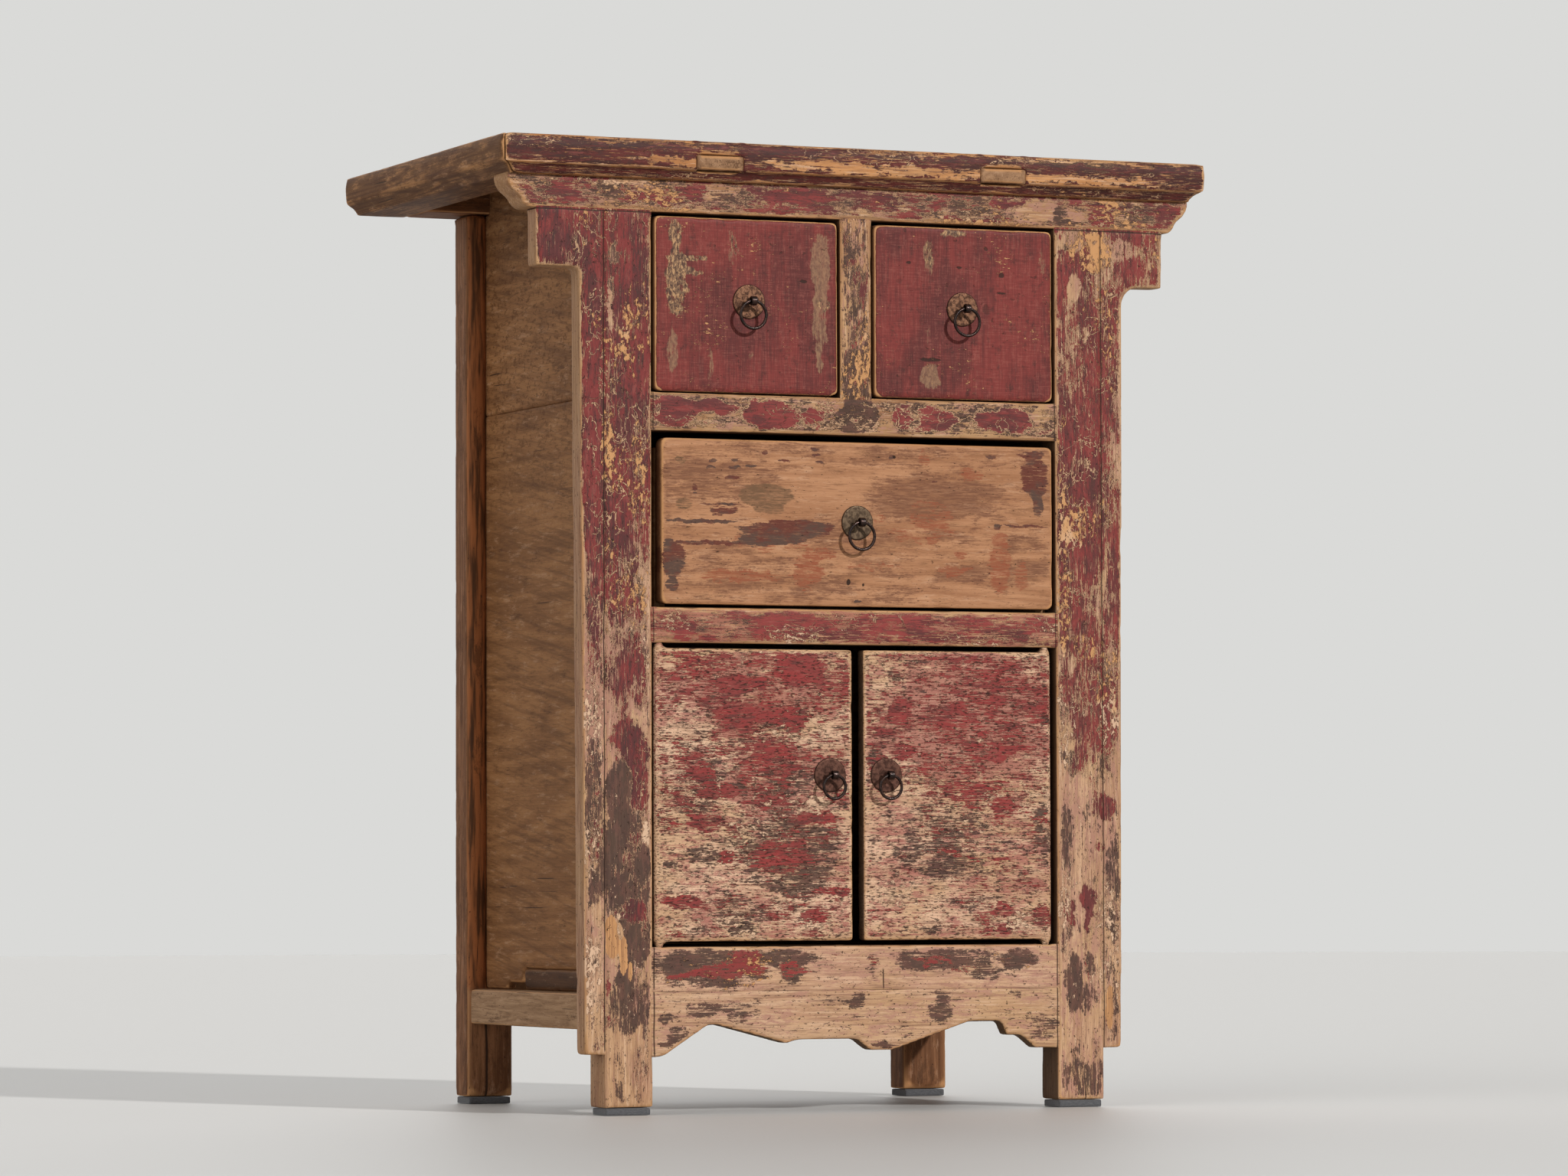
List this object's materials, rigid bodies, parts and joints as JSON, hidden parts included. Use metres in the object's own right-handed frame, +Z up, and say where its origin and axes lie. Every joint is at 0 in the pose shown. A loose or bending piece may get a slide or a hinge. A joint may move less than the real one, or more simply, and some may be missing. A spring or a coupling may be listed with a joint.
{
  "type": "cabinet with drawers and doors",
  "caption": "Small painted wooden cabinet with drawers over a pair of doors, shaped side wings, a moulded overhanging top, iron ring pulls and a scalloped apron.",
  "frame": {"origin": "on the floor, under the middle of the top", "axes": "+X to the right seen from the front, +Y to the back, +Z up"},
  "size_m": [0.804, 0.475, 1],
  "materials": {
    "red_paint": "worn red paint on wood",
    "stripped_wood": "bare worn wood with traces of paint",
    "door_paint": "streaked worn red paint on wood",
    "post_paint": "flaking dark red paint on wood",
    "rail_paint": "flaking dark red paint on wood",
    "top_paint": "worn dark red paint on wood",
    "side_wood": "old unpainted wood",
    "inner_wood": "rough unpainted wood",
    "iron": "dark worn iron",
    "plate_iron": "brown worn sheet iron",
    "felt": "grey felt"
  },
  "bodies": {
    "carcass": {"apron": "rail_paint", "back_boards": "inner_wood", "bottom_rail": "rail_paint", "cabinet_floor": "inner_wood", "drawer_divider": "post_paint", "drawer_guides": "inner_wood", "drawer_runners": "inner_wood", "foot_pads": "felt", "frieze_rail": "rail_paint", "front_left_post": "post_paint", "front_right_post": "post_paint", "left_side_boards": "side_wood", "left_side_patch": "side_wood", "left_wing": "post_paint", "lower_mid_rail": "rail_paint", "lower_side_rails": "side_wood", "rear_left_post": "side_wood", "rear_rails": "inner_wood", "rear_right_post": "side_wood", "right_side_boards": "side_wood", "right_wing": "post_paint", "top_back_rail": "side_wood", "top_battens": "side_wood", "top_front_rail": "top_paint", "top_left_end": "top_paint", "top_panel": "side_wood", "top_right_end": "top_paint", "upper_mid_rail": "rail_paint", "upper_side_rails": "inner_wood"},
    "left_drawer": {"left_drawer_back": "inner_wood", "left_drawer_bottom": "inner_wood", "left_drawer_front": "red_paint", "left_drawer_pin": "iron", "left_drawer_plate": "plate_iron", "left_drawer_sides": "inner_wood"},
    "left_drawer_ring": {"left_drawer_ring": "iron"},
    "right_drawer": {"right_drawer_back": "inner_wood", "right_drawer_bottom": "inner_wood", "right_drawer_front": "red_paint", "right_drawer_pin": "iron", "right_drawer_plate": "plate_iron", "right_drawer_sides": "inner_wood"},
    "right_drawer_ring": {"right_drawer_ring": "iron"},
    "wide_drawer": {"wide_drawer_back": "inner_wood", "wide_drawer_bottom": "inner_wood", "wide_drawer_front": "stripped_wood", "wide_drawer_pin": "iron", "wide_drawer_plate": "plate_iron", "wide_drawer_sides": "inner_wood"},
    "wide_drawer_ring": {"wide_drawer_ring": "iron"},
    "left_door": {"left_door_battens": "inner_wood", "left_door_board": "door_paint", "left_door_pin": "iron", "left_door_plate": "plate_iron"},
    "left_door_ring": {"left_door_ring": "iron"},
    "right_door": {"right_door_battens": "inner_wood", "right_door_board": "door_paint", "right_door_pin": "iron", "right_door_plate": "plate_iron"},
    "right_door_ring": {"right_door_ring": "iron"}
  },
  "joints": [
    {"name": "left_drawer_slide", "type": "slide", "parent": "carcass", "child": "left_drawer", "axis": [0, -1, 0], "range_m": [0, 0.28]},
    {"name": "right_drawer_slide", "type": "slide", "parent": "carcass", "child": "right_drawer", "axis": [0, -1, 0], "range_m": [0, 0.28]},
    {"name": "wide_drawer_slide", "type": "slide", "parent": "carcass", "child": "wide_drawer", "axis": [0, -1, 0], "range_m": [0, 0.28]},
    {"name": "left_door_hinge", "type": "hinge", "parent": "carcass", "child": "left_door", "pos_m": [-0.2218, -0.2105, 0], "axis": [0, 0, -1], "range_deg": [0, 90]},
    {"name": "right_door_hinge", "type": "hinge", "parent": "carcass", "child": "right_door", "pos_m": [0.218, -0.2105, 0], "axis": [0, 0, 1], "range_deg": [0, 90]},
    {"name": "left_drawer_ring_swing", "type": "hinge", "parent": "left_drawer", "child": "left_drawer_ring", "pos_m": [-0.122, -0.23, 0.837], "axis": [-1, 0, 0], "range_deg": [-15, 100]},
    {"name": "right_drawer_ring_swing", "type": "hinge", "parent": "right_drawer", "child": "right_drawer_ring", "pos_m": [0.122, -0.23, 0.837], "axis": [-1, 0, 0], "range_deg": [-15, 100]},
    {"name": "wide_drawer_ring_swing", "type": "hinge", "parent": "wide_drawer", "child": "wide_drawer_ring", "pos_m": [0, -0.23, 0.6105], "axis": [-1, 0, 0], "range_deg": [-15, 100]},
    {"name": "left_door_ring_swing", "type": "hinge", "parent": "left_door", "child": "left_door_ring", "pos_m": [-0.032, -0.23, 0.348], "axis": [-1, 0, 0], "range_deg": [-15, 100]},
    {"name": "right_door_ring_swing", "type": "hinge", "parent": "right_door", "child": "right_door_ring", "pos_m": [0.032, -0.23, 0.348], "axis": [-1, 0, 0], "range_deg": [-15, 100]}
  ]
}
